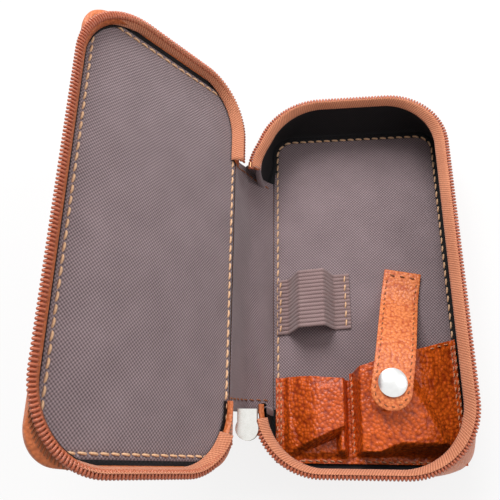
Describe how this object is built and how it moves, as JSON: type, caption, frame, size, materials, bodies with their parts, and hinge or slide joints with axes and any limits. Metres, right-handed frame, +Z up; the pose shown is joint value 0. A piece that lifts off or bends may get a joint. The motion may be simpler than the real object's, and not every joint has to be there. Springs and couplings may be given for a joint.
{
  "type": "razor travel case",
  "caption": "Open zip-round leather travel case for a safety razor, with an elastic loop, leather pockets and a snap strap.",
  "frame": {"origin": "middle of the flat underside that the tray rests on", "axes": "+X from the spine towards the tray's free long side, +Y along the spine towards the empty end of the tray, +Z up out of the open tray"},
  "size_m": [0.1515, 0.176, 0.1161],
  "materials": {
    "outer_leather": "glossy pebbled cognac leather",
    "pocket_leather": "glossy pebbled tan leather with pale highlights",
    "lining_cloth": "woven grey-mauve nylon lining",
    "zip_tape": "woven orange-tan zip tape",
    "zip_coil": "rust-brown nylon coil",
    "elastic_band": "ribbed grey-brown elastic",
    "stiffener": "pressed fibre board",
    "foam": "soft foam",
    "snap_metal": "satin nickel plate",
    "slider_metal": "bright nickel plate"
  },
  "bodies": {
    "tray": {"base_bottom_leather": "outer_leather", "base_board": "stiffener", "base_floor_lining": "lining_cloth", "base_wall_leather": "outer_leather", "base_wall_lining": "lining_cloth", "base_zip_tape": "zip_tape", "base_zip_coil": "zip_coil", "zip_end_stop": "slider_metal", "spine_tray_lining": "lining_cloth", "spine_tray_leather": "outer_leather", "spine_fold_lining": "lining_cloth", "spine_fold_leather": "outer_leather", "zip_slider": "slider_metal", "elastic_loop": "elastic_band", "small_pocket": "pocket_leather", "large_pocket": "pocket_leather", "snap_stud": "snap_metal", "strap_sewn_end": "pocket_leather"},
    "lid": {"lid_top_leather": "outer_leather", "lid_board": "stiffener", "lid_padding": "foam", "lid_lining": "lining_cloth", "lid_wall_leather": "outer_leather", "lid_wall_lining": "lining_cloth", "lid_zip_tape": "zip_tape", "lid_zip_coil": "zip_coil"},
    "strap": {"strap_lining": "pocket_leather", "strap_leather": "pocket_leather", "snap_cap": "snap_metal", "snap_socket": "snap_metal"},
    "pull": {"pull_ring": "slider_metal", "pull_tab": "outer_leather"}
  },
  "joints": [
    {"name": "lid_hinge", "type": "hinge", "parent": "tray", "child": "lid", "pos_m": [-0.05246, 0, 0.03515], "axis": [0, 1, 0], "range_deg": [-56.65, 123.35], "deforming": ["spine_fold_leather", "spine_fold_lining"]},
    {"name": "strap_flip", "type": "hinge", "parent": "tray", "child": "strap", "pos_m": [0.0184, -0.00345, 0.0062], "axis": [-0.9816, 0.1908, 0], "range_deg": [0, 150]},
    {"name": "pull_swing", "type": "hinge", "parent": "tray", "child": "pull", "pos_m": [-0.0506, -0.0673, 0.0277], "axis": [-1, 0, 0], "range_deg": [0, 90]}
  ]
}
